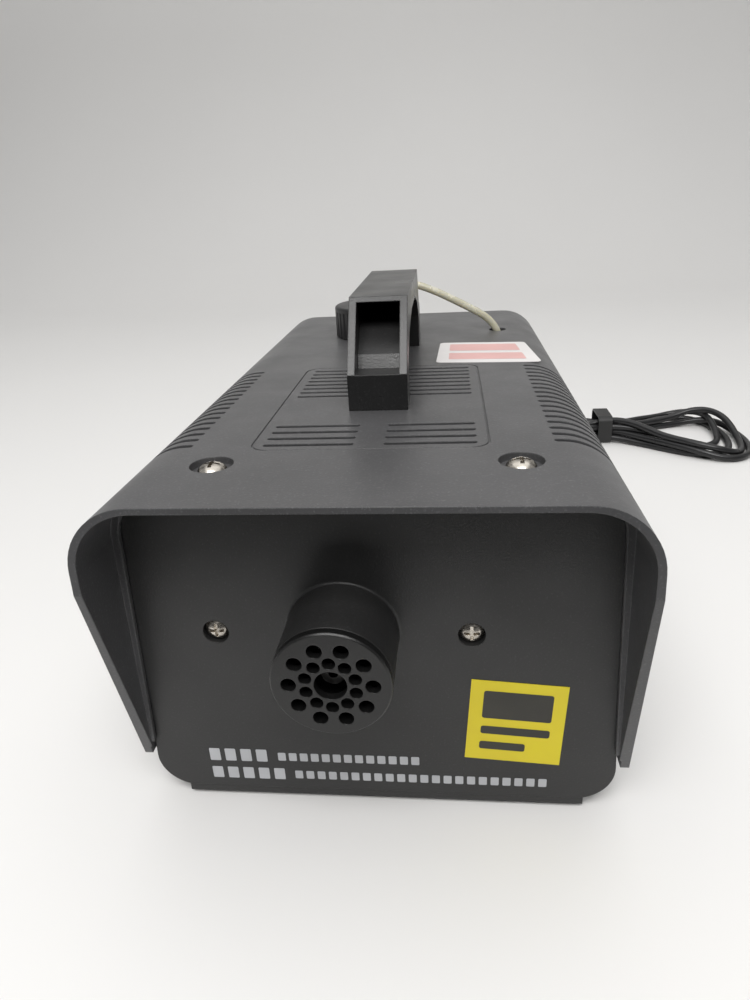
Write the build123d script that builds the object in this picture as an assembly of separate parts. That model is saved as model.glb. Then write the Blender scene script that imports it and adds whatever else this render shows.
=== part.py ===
"""Small mains fog machine: hooded cover on a tray, faired nozzle, carry handle, fluid tank, pump and heater.

Millimetres. +Z is up, -Y is the nozzle's side (the front), +X is to the right as seen from the front.
The origin is on the surface that the machine stands on, under the middle of the machine without its mains lead.
The machine is drawn from its own datum, STAND above that surface. The lead beyond its relief is drawn from the surface.
"""

import os
from functools import cache
from math import cos, pi, radians, sin, tan

from build123d import *

os.makedirs("parts", exist_ok=True)

# ---------------------------------------------------------------- driving dimensions
STAND = 2.0
COVER_LENGTH = 240.4
COVER_TOP = 103.2
COVER_BOTTOM = 15.0
COVER_HALF_WIDTH = 65.0  # at the height of the top face, before the corners are rounded
SIDE_DRAFT = 0.049  # how far a side leans out for each millimetre down
COVER_CORNER = 16.9
COVER_WALL = 2.4
HOOD_WALL_TOP = 1.6  # under the hoods the wall is thin at the top and thickens down the sides
HOOD_WALL_BOTTOM = 3.0
HOOD_DEPTH = 19.65  # how far each end panel stands back inside the cover
HOOD_SLANT_TOP = 80.9
HOOD_SLANT_RUN = 18.8
NOZZLE_PROUD = 2.0  # how far the nozzle passes the hood's front edge
FRONT_EDGE = (NOZZLE_PROUD - COVER_LENGTH) / 2
REAR_EDGE = FRONT_EDGE + COVER_LENGTH
MIDDLE = (FRONT_EDGE + REAR_EDGE) / 2

PANEL_INSET = 3.3
PANEL_THICK = 2.5
PANEL_FRONT = FRONT_EDGE + HOOD_DEPTH
PANEL_BACK = PANEL_FRONT + PANEL_THICK
REAR_PANEL_OUT = REAR_EDGE - HOOD_DEPTH
REAR_PANEL_IN = REAR_PANEL_OUT - PANEL_THICK
RIB_INSET = 3.9
RIB_WIDTH = 1.4
RIB_GAP = 0.3  # between an end panel and the rib in front of it
RIB_BOTTOM = 20.0

TRAY_BOTTOM = 2.0
TRAY_CORNER = 11.0
TRAY_WALL = 2.2
TRAY_TOP = 30.0
TRAY_FLOOR = TRAY_BOTTOM + TRAY_WALL
PLINTH_HALF_WIDTH = 58.0
PLINTH_BOTTOM = -0.3
FOOT_RADIUS = 6.0

VENT_WIDTH = 2.0
VENT_INNER = 3.9
VENT_OUTER = 28.1
FRONT_VENTS = (39.2, 5.16, 4)  # first row behind the front edge, pitch, rows
REAR_VENTS = (85.6, 4.8, 8)
SIDE_VENTS = (39.6, 5.02, 17)
SIDE_VENT_INNER = 47.4
SIDE_VENT_WIDTH = 2.2
SIDE_VENT_LOW = 61.0
GROOVE_HALF_WIDTH = 31.4
GROOVE_FROM = 35.2
GROOVE_TO = 124.0
GROOVE_CORNER = 5.0
GROOVE_WIDTH = 0.5
GROOVE_DEPTH = 0.3

NOZZLE_X = -7.2
NOZZLE_Z = 58.1
BARREL_RADIUS = 14.75
BARREL_BORE = 12.3
BARREL_FAIRING = 0.8
GRILLE_THICK = 2.2
OUTER_HOLES = (10, 10.1, 1.88)  # count, pitch radius, hole radius
INNER_HOLES = (10, 6.3, 1.6)
CENTRE_HOLE = 4.0

FRONT_SCREW_SPACING = 68.0
FRONT_SCREW_MIDDLE = -7.7
FRONT_SCREW_Z = 57.6
FRONT_SCREW_SEAT = 2.4
COVER_SCREW_X = 37.9
COVER_SCREW_BACK = 25.9
COVER_RECESS = (5.5, 1.9)  # radius, depth
BOSS_DEPTH = 4.6
REAR_SCREW = (45.0, 90.0)
BASE_SCREW_X = 45.0
BASE_SCREW_SEAT = 1.1
LUG_HALF = 5.0

HANDLE_HALF_WIDTH = 8.87
HANDLE_FROM = 68.55
HANDLE_MIDDLE = 119.0
HANDLE_HEIGHT = 31.0
HANDLE_FOOT = (10.5, 10.8)  # depth, height
HANDLE_SLOPE_RUN = 15.1
HANDLE_WALL = 2.3
HANDLE_SKIN = 1.5
HANDLE_BAR_THICK = 7.3

CAP_X = -10.9
CAP_BACK = 189.0
CAP_RADIUS = 19.0
CAP_TOP = 116.8
CAP_GAP = 0.5
CAP_WALL = 2.0
CAP_RIBS = 40
TUBE_RADIUS = 1.6
TUBE_HOLE = 4.0
NECK_RADIUS = 16.3
NECK_WALL = 2.0
TANK = (-58.0, 18.0, 146.0, 205.0, 40.0, 94.0)  # x, distance behind the front edge, z
TANK_WALL = 1.8

PUMP_X = 44.8
PUMP_BACK = 189.8
COIL_RADIUS = 15.0
CORE_RADIUS = 6.3
PLUNGER_RADIUS = 4.5
PLUNGER_CLEARANCE = 0.08

HEATER_HALF = (23.0, 20.0)
HEATER_FROM = 42.0
HEATER_TO = 122.0
JACKET_THICK = 6.0

CORD_RADIUS = 2.1
RELIEF_X = 45.0
RELIEF_Z = 20.0
RELIEF_LENGTH = 28.0
HANK_X = 125.5
HANK_Y = 219.0
HANK_HALF_LENGTH = 93.0
HANK_HALF_WIDTH = 51.5
HANK_PINCH = 9.0
HANK_HEIGHT = 13.5
HANK_WAIST = 9.0
HANK_WAIST_HEIGHT = 10.0
TIE_WIDTH = 9.0
TIE_THICK = 1.2

MAKERS = []
DATUM = {}


def node(function):
    """Lists a function that makes one node of the machine, which gets the function's name."""
    MAKERS.append(function)
    DATUM[function] = STAND
    return function


def node_on_surface(function):
    """The same for a node drawn from the surface that the machine stands on. It is made once."""
    made = cache(function)
    MAKERS.append(made)
    DATUM[made] = 0.0
    return made


def back(distance):
    """The Y of something that far behind the hood's front edge."""
    return FRONT_EDGE + distance


def block(x0, x1, y0, y1, z0, z1):
    return Pos((x0 + x1) / 2, (y0 + y1) / 2, (z0 + z1) / 2) * Box(x1 - x0, y1 - y0, z1 - z0)


def rod(start, direction, length, radius):
    align = (Align.CENTER, Align.CENTER, Align.MIN)
    return Plane(origin=start, z_dir=direction) * Cylinder(radius, length, align=align)


def ring(start, direction, length, outer, inner):
    return rod(start, direction, length, outer) - rod(start, direction, length, inner)


def circles(shape, radius):
    """A shape's round edges of that radius."""
    return shape.edges().filter_by(GeomType.CIRCLE).filter_by(lambda e: abs(e.radius - radius) < 0.01)


def outline_of(points):
    """A flat outline whose face looks the same way whichever way round its points go."""
    turns = sum(a[0] * b[1] - b[0] * a[1] for a, b in zip(points, points[1:] + points[:1]))
    return Polygon(*(points if turns > 0 else points[::-1]), align=None)


def half_width(z, inset=0.0):
    return COVER_HALF_WIDTH + SIDE_DRAFT * (COVER_TOP - z) - inset


def section(inset, bottom, lower_corner=0.0):
    """The machine's cross-section, moved in from the cover's outer surface."""
    top = COVER_TOP - inset
    low, high = half_width(bottom, inset), half_width(top, inset)
    outline = Polygon((-low, bottom), (low, bottom), (high, top), (-high, top), align=None)
    outline = fillet(outline.vertices().sort_by(Axis.Y)[2:], COVER_CORNER - inset)
    if lower_corner:
        outline = fillet(outline.vertices().sort_by(Axis.Y)[:2], lower_corner)
    return outline


def hood_hollow():
    """The hollow's cross-section under the hoods, open at the bottom."""
    top, bottom = COVER_TOP - HOOD_WALL_TOP, COVER_BOTTOM - 10
    high = half_width(top, HOOD_WALL_TOP)
    spread = (half_width(COVER_BOTTOM, HOOD_WALL_BOTTOM) - high) / (top - COVER_BOTTOM)
    low = high + spread * (top - bottom)
    outline = Polygon((-low, bottom), (low, bottom), (high, top), (-high, top), align=None)
    return fillet(outline.vertices().sort_by(Axis.Y)[2:], COVER_CORNER - HOOD_WALL_TOP)


def slab(outline, y0, y1):
    """An outline drawn in X and Z, made solid from y0 to y1."""
    plane = Plane(origin=(0, y1, 0), x_dir=(1, 0, 0), z_dir=(0, -1, 0))
    return extrude(plane * outline, amount=y1 - y0)


def plank(outline, x0, x1):
    """An outline drawn in Y and Z, made solid from x0 to x1."""
    plane = Plane(origin=(x0, 0, 0), x_dir=(0, 1, 0), z_dir=(1, 0, 0))
    return extrude(plane * outline, amount=x1 - x0)


def screw(seat, direction, head_radius, head_height, shank_radius, shank_length):
    """A cross-slot screw with a domed head that stands on its seat and points along direction."""
    outline = make_face(
        Polyline((shank_radius, 0), (head_radius, 0), (head_radius, 0.3 * head_height)).edges()
        + ThreePointArc(
            (head_radius, 0.3 * head_height),
            (0.62 * head_radius, 0.84 * head_height),
            (0, head_height),
        ).edges()
        + Polyline(
            (0, head_height), (0, -shank_length), (shank_radius, 1 - shank_length), (shank_radius, 0)
        ).edges()
    )
    body = revolve(Plane.XZ * outline, axis=Axis.Z)
    slot_length, slot_width, slot_depth = 1.2 * head_radius, 0.26 * head_radius, 0.6 * head_height
    for turn in (0, 90):
        slot = Box(slot_length, slot_width, slot_depth)
        body -= Pos(0, 0, head_height - slot_depth / 2 + 0.05) * Rot(0, 0, turn) * slot
    outward = Vector(*direction) * -1
    return Plane(origin=seat, z_dir=outward) * body


def run_radii(points, share=0.45):
    """The radius of the arc at each inner point: as large as the two runs beside it allow."""
    radii = []
    for before, at, after in zip(points, points[1:], points[2:]):
        first, second = Vector(*at) - Vector(*before), Vector(*after) - Vector(*at)
        half_turn = radians(first.get_angle(second)) / 2
        radii.append(share * min(first.length, second.length) / tan(half_turn))
    return radii


def tube_along(points, radius, label):
    """A round solid along straight runs joined by tangent arcs. It prints the radii and the volume's share."""
    radii = run_radii(points)
    path = FilletPolyline(*points, radius=radii)
    start = Plane(origin=path @ 0, z_dir=path % 0)
    solid = sweep(start * Circle(radius), path=path)
    share = solid.volume / (pi * radius**2 * path.length)
    print(label, "length", round(path.length, 1), "volume share", round(share, 4))
    print("  radii", [round(r, 1) for r in radii])
    return solid


# ---------------------------------------------------------------- cover, panels and base


def vent_rows(rows):
    """The Y of each row of vents."""
    first, pitch, count = rows
    return [back(first + pitch * i) for i in range(count)]


@node
def top_cover():
    shell = slab(section(0, COVER_BOTTOM), FRONT_EDGE, REAR_EDGE)
    front_rib, rear_rib = PANEL_FRONT - RIB_GAP - RIB_WIDTH, REAR_PANEL_OUT + RIB_GAP
    shell -= slab(section(COVER_WALL, COVER_BOTTOM - 10), front_rib, rear_rib + RIB_WIDTH)
    shell -= slab(hood_hollow(), FRONT_EDGE - 1, front_rib)
    shell -= slab(hood_hollow(), rear_rib + RIB_WIDTH, REAR_EDGE + 1)
    rib = section(COVER_WALL - 0.2, RIB_BOTTOM) - section(RIB_INSET, RIB_BOTTOM - 10)
    for near in (front_rib, rear_rib):
        shell += slab(rib, near, near + RIB_WIDTH)
    for side in (-1, 1):
        x = side * COVER_SCREW_X
        shell += rod((x, back(COVER_SCREW_BACK), COVER_TOP - 1), (0, 0, -1), BOSS_DEPTH - 1, 7.2)
        x = side * REAR_SCREW[0]
        shell += block(
            x - LUG_HALF, x + LUG_HALF, REAR_PANEL_IN - 12, REAR_PANEL_IN - 0.2, 84, COVER_TOP - 1
        )
    cuts = []
    for toward, edge in ((1, FRONT_EDGE), (-1, REAR_EDGE)):
        slant = edge + toward * HOOD_SLANT_RUN
        away = edge - toward * 5
        wedge = outline_of(
            [(away, HOOD_SLANT_TOP), (edge, HOOD_SLANT_TOP), (slant, COVER_BOTTOM), (slant, 0), (away, 0)]
        )
        cuts.append(plank(wedge, -80, 80))
    for side in (-1, 1):
        for y in vent_rows(FRONT_VENTS) + vent_rows(REAR_VENTS):
            middle = side * (VENT_INNER + VENT_OUTER) / 2
            slot = extrude(SlotOverall(VENT_OUTER - VENT_INNER, VENT_WIDTH), amount=8)
            cuts.append(Pos(middle, y, COVER_TOP - 5) * slot)
        for y in vent_rows(SIDE_VENTS):
            half = SIDE_VENT_WIDTH / 2
            inner = SIDE_VENT_INNER + half
            low = SIDE_VENT_LOW + half
            cuts.append(rod((side * inner, y, low), (0, 0, 1), 60, half))
            cuts.append(rod((side * inner, y, low), (side, 0, 0), 40, half))
            ends = sorted((side * inner, side * (inner + 40)))
            cuts.append(block(*ends, y - half, y + half, low, low + 60))
        x, y = side * COVER_SCREW_X, back(COVER_SCREW_BACK)
        radius, depth = COVER_RECESS
        cuts.append(rod((x, y, COVER_TOP - depth), (0, 0, 1), 8, radius))
        cuts.append(rod((x, y, COVER_TOP - 12), (0, 0, 1), 20, 1.9))
        cuts.append(rod((side * REAR_SCREW[0], REAR_PANEL_IN, REAR_SCREW[1]), (0, -1, 0), 10, 1.4))
    groove = RectangleRounded(
        2 * GROOVE_HALF_WIDTH, GROOVE_TO - GROOVE_FROM, GROOVE_CORNER
    ) - RectangleRounded(
        2 * (GROOVE_HALF_WIDTH - GROOVE_WIDTH),
        GROOVE_TO - GROOVE_FROM - 2 * GROOVE_WIDTH,
        GROOVE_CORNER - GROOVE_WIDTH,
    )
    groove_y = back((GROOVE_FROM + GROOVE_TO) / 2)
    cuts.append(Pos(0, groove_y, COVER_TOP - GROOVE_DEPTH) * extrude(groove, amount=2))
    for y in handle_screw_rows():
        cuts.append(rod((0, y, COVER_TOP - 8), (0, 0, 1), 12, 1.7))
    cuts.append(rod((CAP_X, back(CAP_BACK), COVER_TOP - 8), (0, 0, 1), 12, NECK_RADIUS + 1.2))
    cuts.append(rod((42.9, back(CAP_BACK + 0.6), COVER_TOP - 8), (0, 0, 1), 12, 3.8))
    for cut in cuts:
        shell -= cut
    return shell


def handle_screw_rows():
    """The Y of the two screws that hold the handle, each in the middle of a foot."""
    inside = HANDLE_FROM + HANDLE_FOOT[0] / 2
    return [back(inside), back(2 * HANDLE_MIDDLE - inside)]


def end_panel(outer, inner):
    """An end panel's plate and its two lower lugs. outer is the Y that faces out of the machine."""
    low, high = sorted((outer, inner))
    plate = slab(section(PANEL_INSET, TRAY_BOTTOM, TRAY_CORNER), low, high)
    inward = 1 if inner > outer else -1
    for side in (-1, 1):
        x = side * BASE_SCREW_X
        ends = sorted((inner - inward * 0.5, inner + inward * 10))
        plate += block(x - LUG_HALF, x + LUG_HALF, *ends, TRAY_FLOOR, TRAY_FLOOR + 10)
        plate -= rod((x, inner + inward * 5, TRAY_FLOOR - 1), (0, 0, 1), 9, 1.4)
    return plate


@node
def front_panel():
    panel = end_panel(PANEL_FRONT, PANEL_BACK)
    barrel_front = FRONT_EDGE - NOZZLE_PROUD + GRILLE_THICK
    panel += rod((NOZZLE_X, barrel_front, NOZZLE_Z), (0, 1, 0), PANEL_BACK - barrel_front, BARREL_RADIUS)
    root = circles(panel, BARREL_RADIUS).filter_by(lambda e: abs(e.center().Y - PANEL_FRONT) < 0.01)
    panel = fillet(root, BARREL_FAIRING)
    for side in (-1, 1):
        x = FRONT_SCREW_MIDDLE + side * FRONT_SCREW_SPACING / 2
        panel += rod((x, PANEL_FRONT + 1, FRONT_SCREW_Z), (0, 1, 0), 3.2, 6)
        panel -= rod((x, PANEL_FRONT - 1, FRONT_SCREW_Z), (0, 1, 0), FRONT_SCREW_SEAT + 1, 3.55)
        panel -= rod((x, PANEL_FRONT - 1, FRONT_SCREW_Z), (0, 1, 0), 8, 1.9)
        x = side * COVER_SCREW_X
        panel += block(
            x - LUG_HALF, x + LUG_HALF, PANEL_BACK - 0.5, back(30.5), 86, COVER_TOP - BOSS_DEPTH
        )
        panel -= rod((x, back(COVER_SCREW_BACK), COVER_TOP - BOSS_DEPTH), (0, 0, -1), 9, 1.4)
        panel -= rod((x, back(COVER_SCREW_BACK), COVER_TOP - BOSS_DEPTH), (0, 0, 1), 9, 7.5)
    panel -= rod((NOZZLE_X, barrel_front - 1, NOZZLE_Z), (0, 1, 0), 40, BARREL_BORE)
    return panel


@node
def nozzle_grille():
    front = FRONT_EDGE - NOZZLE_PROUD
    disc = rod((NOZZLE_X, front, NOZZLE_Z), (0, 1, 0), GRILLE_THICK, BARREL_RADIUS - 0.1)
    disc = chamfer(disc.edges().filter_by(GeomType.CIRCLE).sort_by(Axis.Y)[:1], 0.4)
    disc += ring(
        (NOZZLE_X, front + GRILLE_THICK - 0.5, NOZZLE_Z), (0, 1, 0), 6, BARREL_BORE - 0.05, BARREL_BORE - 1.4
    )
    holes = [rod((NOZZLE_X, front - 1, NOZZLE_Z), (0, 1, 0), 6, CENTRE_HOLE)]
    for (count, pitch_radius, radius), offset in ((OUTER_HOLES, 0), (INNER_HOLES, 18)):
        for i in range(count):
            angle = radians(90 + offset + 360 / count * (i + 0.5))
            x = NOZZLE_X + pitch_radius * cos(angle)
            z = NOZZLE_Z + pitch_radius * sin(angle)
            holes.append(rod((x, front - 1, z), (0, 1, 0), 6, radius))
    for hole in holes:
        disc -= hole
    return disc


ROCKER_AT = (14.0, 24.0)
ROCKER_CUT = (19.2, 13.0)
FUSE_AT = (-42.0, 24.0)
FUSE_CUT = 6.2
SOCKET_AT = (-14.0, 24.0)
SOCKET_CUT = 8.0
RELIEF_CUT = 4.8


@node
def rear_panel():
    panel = end_panel(REAR_PANEL_OUT, REAR_PANEL_IN)
    x, z = ROCKER_AT
    width, height = ROCKER_CUT
    panel -= block(
        x - width / 2, x + width / 2, REAR_PANEL_IN - 1, REAR_PANEL_OUT + 1, z - height / 2, z + height / 2
    )
    round_cuts = (
        (FUSE_AT, FUSE_CUT),
        (SOCKET_AT, SOCKET_CUT),
        ((RELIEF_X, RELIEF_Z), RELIEF_CUT),
        (REAR_SCREW, 1.9),
        ((-REAR_SCREW[0], REAR_SCREW[1]), 1.9),
    )
    for (x, z), radius in round_cuts:
        panel -= rod((x, REAR_PANEL_IN - 1, z), (0, 1, 0), 5, radius)
    return panel


FEET = [(side * 48.0, back(distance)) for side in (-1, 1) for distance in (40.0, 200.0)]
BASE_SCREWS = [
    (side * BASE_SCREW_X, y) for side in (-1, 1) for y in (PANEL_BACK + 5, REAR_PANEL_IN - 5)
]


@node
def base_tray():
    tray = slab(section(PANEL_INSET, TRAY_BOTTOM, TRAY_CORNER), PANEL_BACK, REAR_PANEL_IN)
    inner = section(PANEL_INSET + TRAY_WALL, TRAY_FLOOR, TRAY_CORNER - TRAY_WALL)
    tray -= slab(inner, PANEL_BACK - 1, REAR_PANEL_IN + 1)
    tray -= block(-80, 80, PANEL_BACK - 1, REAR_PANEL_IN + 1, TRAY_TOP, COVER_TOP + 1)
    half = PLINTH_HALF_WIDTH
    tray += block(-half, half, PANEL_FRONT + 0.2, REAR_PANEL_OUT - 0.2, PLINTH_BOTTOM, TRAY_BOTTOM)
    for i in range(8):
        slot = extrude(SlotOverall(64, 3), amount=8)
        tray -= Pos(NOZZLE_X, back(54 + 8 * i), -1) * slot
    for x, y in FEET:
        tray -= rod((x, y, -STAND), (0, 0, 1), STAND + TRAY_FLOOR + 1, 2)
    for x, y in BASE_SCREWS:
        tray -= rod((x, y, -STAND), (0, 0, 1), STAND + BASE_SCREW_SEAT, 3.3)
        tray -= rod((x, y, -STAND), (0, 0, 1), STAND + TRAY_FLOOR + 1, 1.6)
    return tray


@node
def rubber_feet():
    feet = []
    for x, y in FEET:
        foot = rod((x, y, -STAND), (0, 0, 1), STAND + PLINTH_BOTTOM, FOOT_RADIUS)
        feet.append(foot + rod((x, y, -STAND), (0, 0, 1), STAND + TRAY_FLOOR, 2))
    return Compound(children=feet)


@node
def base_screws():
    places = [(x, y, BASE_SCREW_SEAT) for x, y in BASE_SCREWS]
    return Compound(children=[screw(place, (0, 0, 1), 2.8, 1.3, 1.35, 8.0) for place in places])


@node
def cover_screws():
    seat = COVER_TOP - COVER_RECESS[1]
    places = [(side * COVER_SCREW_X, back(COVER_SCREW_BACK), seat) for side in (-1, 1)]
    return Compound(children=[screw(place, (0, 0, -1), 3.65, 2.3, 1.35, 9.0) for place in places])


@node
def front_panel_screws():
    seat = PANEL_FRONT + FRONT_SCREW_SEAT
    half = FRONT_SCREW_SPACING / 2
    places = [(FRONT_SCREW_MIDDLE + side * half, seat, FRONT_SCREW_Z) for side in (-1, 1)]
    return Compound(children=[screw(place, (0, 1, 0), 3.4, 2.0, 1.6, 6.5) for place in places])


@node
def rear_panel_screws():
    places = [(side * REAR_SCREW[0], REAR_PANEL_OUT, REAR_SCREW[1]) for side in (-1, 1)]
    return Compound(children=[screw(place, (0, -1, 0), 3.4, 2.0, 1.35, 9.0) for place in places])


# ---------------------------------------------------------------- handle


def mirrored(points, middle):
    """Points in Y and Z, with their mirror images past the middle, in order."""
    return points + [(2 * middle - y, z) for y, z in reversed(points)]


@node
def carry_handle():
    middle = back(HANDLE_MIDDLE)
    y0, z0 = back(HANDLE_FROM), COVER_TOP
    foot_depth, foot_height = HANDLE_FOOT
    top = z0 + HANDLE_HEIGHT
    under = top - HANDLE_BAR_THICK
    outer = [(y0, z0), (y0, z0 + foot_height), (y0 + HANDLE_SLOPE_RUN, top)]
    outer_outline = outline_of(mirrored(outer, middle))
    inner = [
        (y0 + foot_depth, z0 - 1),
        (y0 + foot_depth, z0 + 12.5),
        (y0 + 20.5, z0 + 19.5),
        (y0 + 38.0, under),
    ]
    inner_outline = outline_of(mirrored(inner, middle))
    corners = inner_outline.vertices().filter_by(lambda v: v.Y > z0)
    inner_outline = fillet(corners, 7.0)
    body = plank(outer_outline - inner_outline, -HANDLE_HALF_WIDTH, HANDLE_HALF_WIDTH)
    hollow = [
        (y0 - 5, z0 + foot_height),
        (y0 + foot_depth - HANDLE_WALL, z0 + foot_height),
        (y0 + foot_depth - 0.4, z0 + 14.6),
        (y0 + 19.4, z0 + 21.3),
        (y0 + 34.0, under + HANDLE_WALL),
        (y0 + 42.0, under + HANDLE_WALL),
        (y0 + 42.0, top - HANDLE_SKIN),
        (y0 - 5, top - HANDLE_SKIN),
    ]
    reach = HANDLE_HALF_WIDTH - HANDLE_WALL
    for points in (hollow, [(2 * middle - y, z) for y, z in hollow]):
        body -= plank(outline_of(points), -reach, reach)
    for y in handle_screw_rows():
        body -= rod((0, y, z0 - 1), (0, 0, 1), 9.5, 1.4)
    return body


@node
def handle_screws():
    seat = COVER_TOP - COVER_WALL
    return Compound(
        children=[screw((0, y, seat), (0, 0, 1), 3.2, 2.0, 1.35, 9.0) for y in handle_screw_rows()]
    )


# ---------------------------------------------------------------- labels

YELLOW_LABEL = [(26.3, 43.5), (51.9, 41.5), (50.6, 14.4), (24.5, 16.3)]
WHITE_LABEL = [(17.6, 163.1), (51.8, 159.9), (54.7, 124.5), (16.2, 127.7)]
LABEL_THICK = 0.15


@node
def front_label():
    return slab(outline_of(YELLOW_LABEL), PANEL_FRONT - LABEL_THICK, PANEL_FRONT)


@node
def top_label():
    outline = outline_of([(x, back(distance)) for x, distance in WHITE_LABEL])
    outline = fillet(outline.vertices(), 2.0)
    return Pos(0, 0, COVER_TOP) * extrude(outline, amount=LABEL_THICK)


# ---------------------------------------------------------------- tank and tube


@node
def fluid_tank():
    x0, x1, near, far, z0, z1 = TANK
    outside = block(x0, x1, back(near), back(far), z0, z1)
    outside = fillet(outside.edges(), 6.0)
    wall = TANK_WALL
    inside = block(x0 + wall, x1 - wall, back(near) + wall, back(far) - wall, z0 + wall, z1 - wall)
    inside = fillet(inside.edges(), 6.0 - wall)
    neck_top = COVER_TOP + 8.5
    centre = (CAP_X, back(CAP_BACK))
    tank = outside + rod((*centre, z1 - 4), (0, 0, 1), neck_top - z1 + 4, NECK_RADIUS - 0.7)
    for z in (COVER_TOP + 2.2, COVER_TOP + 5.2):
        tank += rod((*centre, z), (0, 0, 1), 1.2, NECK_RADIUS)
    tank -= inside
    tank -= rod((*centre, z1 - 8), (0, 0, 1), neck_top - z1 + 12, NECK_RADIUS - 0.7 - NECK_WALL)
    return tank


@node
def tank_feet():
    """Four posts that carry the tank over the tray's floor."""
    x0, x1, near, far, z0, _ = TANK
    posts = []
    for x in (x0 + 14, x1 - 20):
        for distance in (near + 10, far - 34):
            posts.append(rod((x, back(distance), TRAY_FLOOR), (0, 0, 1), z0 - TRAY_FLOOR, 4))
    return Compound(children=posts)


@node
def tank_cap():
    centre = (CAP_X, back(CAP_BACK))
    bottom = COVER_TOP + CAP_GAP
    cap = rod((*centre, bottom), (0, 0, 1), CAP_TOP - bottom, CAP_RADIUS)
    cap = fillet(cap.edges().sort_by(Axis.Z)[-1:], 1.2)
    cap -= rod((*centre, bottom - 1), (0, 0, 1), CAP_TOP - CAP_WALL - bottom + 1, NECK_RADIUS + 0.4)
    cap -= rod((*centre, bottom - 1), (0, 0, 1), 30, TUBE_HOLE)
    for i in range(CAP_RIBS):
        angle = 2 * pi * i / CAP_RIBS
        x = centre[0] + (CAP_RADIUS + 0.35) * cos(angle)
        y = centre[1] + (CAP_RADIUS + 0.35) * sin(angle)
        cap -= rod((x, y, bottom - 1), (0, 0, 1), CAP_TOP - bottom - 1.2, 0.8)
    return cap


@node
def cap_seal():
    top = CAP_TOP - CAP_WALL - 0.1
    return ring((CAP_X, back(CAP_BACK), top - 1.6), (0, 0, 1), 1.6, NECK_RADIUS - 0.2, TUBE_HOLE)


TUBE_ROUTE = [
    (-13.6, 96.5),
    (-13.3, 103.5),
    (-12.9, 110.6),
    (-11.8, 117.4),
    (-8.3, 122.6),
    (-2.6, 125.2),
    (4.4, 124.8),
    (12.0, 122.4),
    (20.5, 118.4),
    (29.3, 113.8),
    (38.2, 109.0),
    (43.2, 102.6),
    (44.5, 95.0),
    (44.8, 88.0),
]
TUBE_POINTS = [(x, back(CAP_BACK + 0.8 * (x + 13.6) / 58.4), z) for x, z in TUBE_ROUTE]


@node
def fluid_tube():
    return tube_along(TUBE_POINTS, TUBE_RADIUS, "fluid tube")


@node
def tube_joiner():
    """A short plastic sleeve that joins the fluid tube to the pick-up tube inside the neck."""
    x, y, z = TUBE_POINTS[0]
    return rod((x, y, z - 0.2), (0, 0, -1), 5.8, 2.4)


@node
def pickup_tube():
    x, y, z = TUBE_POINTS[0]
    return ring((x, y, z - 6.0), (0, 0, -1), 36.0, TUBE_RADIUS, 0.9)


@node
def pickup_filter():
    x, y, z = TUBE_POINTS[0]
    body = rod((x, y, z - 42.0), (0, 0, -1), 11.0, 4.5)
    return fillet(body.edges().filter_by(GeomType.CIRCLE), 1.0)


# ---------------------------------------------------------------- pump

PUMP_Y = back(PUMP_BACK)
COIL_FROM = 32.0
COIL_TO = 66.0
CORE_FROM = 17.0
CORE_TO = 80.0
PLUNGER_FROM = 40.0
PLUNGER_TO = 68.0
SPRING_FROM = 27.0


def pump_ring(z0, z1, outer, inner):
    return ring((PUMP_X, PUMP_Y, z0), (0, 0, 1), z1 - z0, outer, inner)


def pump_rod(z0, z1, radius):
    return rod((PUMP_X, PUMP_Y, z0), (0, 0, 1), z1 - z0, radius)


@node
def pump_body():
    """The pump's core tube with the barbs of its inlet (top) and outlet (bottom)."""
    bore = PLUNGER_RADIUS + PLUNGER_CLEARANCE
    body = pump_rod(CORE_FROM, CORE_TO, CORE_RADIUS)
    body += pump_rod(CORE_TO - 1, TUBE_POINTS[-1][2] - 0.2, 1.5)
    body += rod((PUMP_X, PUMP_Y, CORE_FROM + 2.5), (0, -1, 0), 14, 2.2)
    body -= pump_rod(SPRING_FROM, PLUNGER_TO, bore)
    body -= pump_rod(CORE_FROM + 2, SPRING_FROM + 1, 1.0)
    body -= pump_rod(PLUNGER_TO - 1, CORE_TO + 20, 0.8)
    body -= rod((PUMP_X, PUMP_Y, CORE_FROM + 2.5), (0, -1, 0), 16, 0.9)
    return body


@node
def pump_coil():
    coil = pump_ring(COIL_FROM, COIL_TO, COIL_RADIUS, CORE_RADIUS + 1.4)
    return fillet(circles(coil, COIL_RADIUS), 1.5)


@node
def coil_bobbin():
    bobbin = pump_ring(COIL_FROM - 2, COIL_TO + 2, CORE_RADIUS + 1.4, CORE_RADIUS)
    for z in (COIL_FROM - 2, COIL_TO):
        bobbin += pump_ring(z, z + 2, COIL_RADIUS + 1, CORE_RADIUS)
    return bobbin


@node
def pump_yoke():
    """The steel frame round the coil."""
    reach = COIL_RADIUS + 3.0
    z0, z1 = COIL_FROM - 4, COIL_TO + 4
    yoke = block(PUMP_X - reach, PUMP_X + reach, PUMP_Y - 9, PUMP_Y + 9, z0, z1)
    yoke -= block(
        PUMP_X - reach + 1.5, PUMP_X + reach + 1, PUMP_Y - 10, PUMP_Y + 10, COIL_FROM - 2, COIL_TO + 2
    )
    yoke -= pump_rod(z0 - 1, z1 + 1, CORE_RADIUS)
    return yoke


@node
def pump_plunger():
    plunger = pump_rod(PLUNGER_FROM, PLUNGER_TO - 0.2, PLUNGER_RADIUS)
    plunger -= pump_rod(PLUNGER_FROM - 1, PLUNGER_TO + 1, 1.5)
    return chamfer(circles(plunger, PLUNGER_RADIUS), 0.5)


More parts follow.
